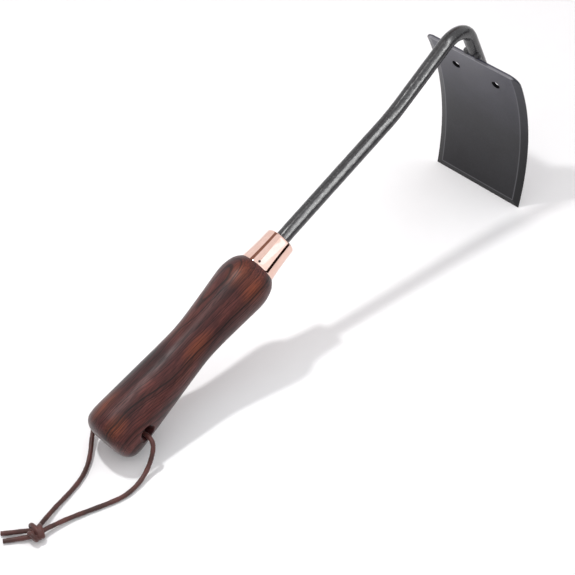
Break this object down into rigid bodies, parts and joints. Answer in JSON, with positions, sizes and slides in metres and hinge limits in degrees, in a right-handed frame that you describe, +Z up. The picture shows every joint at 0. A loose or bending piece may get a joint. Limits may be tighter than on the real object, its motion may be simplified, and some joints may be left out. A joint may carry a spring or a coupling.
{
  "type": "draw hoe",
  "caption": "Short hand draw hoe: turned wooden grip with a leather wrist loop, copper-coloured ferrule, bent round steel shank with a neck, and a curved bevelled blade welded on.",
  "frame": {"origin": "middle of the tool's footprint, between the butt of the grip and the blade's back, on the surface that it stands on; the lanyard isn't counted", "axes": "+X from the butt of the grip to the blade, +Y to the left of someone looking along +X, +Z up, with the tool standing on its cutting edge and its butt"},
  "size_m": [0.3732, 0.0666, 0.1312],
  "materials": {
    "stained_wood": "dark red-brown stain under satin varnish",
    "copper_ferrule": "polished copper plate",
    "brad": "dull",
    "forged_rod": "hammered, dark grey lacquer",
    "blade_coat": "smooth dark grey powder coat",
    "weld_bead": "rough, lacquered",
    "resin": "cured adhesive, hidden",
    "leather_cord": "waxed round leather"
  },
  "bodies": {
    "root": {"grip": "stained_wood", "ferrule": "copper_ferrule", "ferrule_brad": "brad", "tang_resin": "resin", "shank": "forged_rod", "blade": "blade_coat", "weld_left": "weld_bead", "weld_right": "weld_bead", "lanyard_left": "leather_cord", "lanyard_right": "leather_cord", "lanyard_knot": "leather_cord", "lanyard_tails": "leather_cord"}
  },
  "joints": []
}
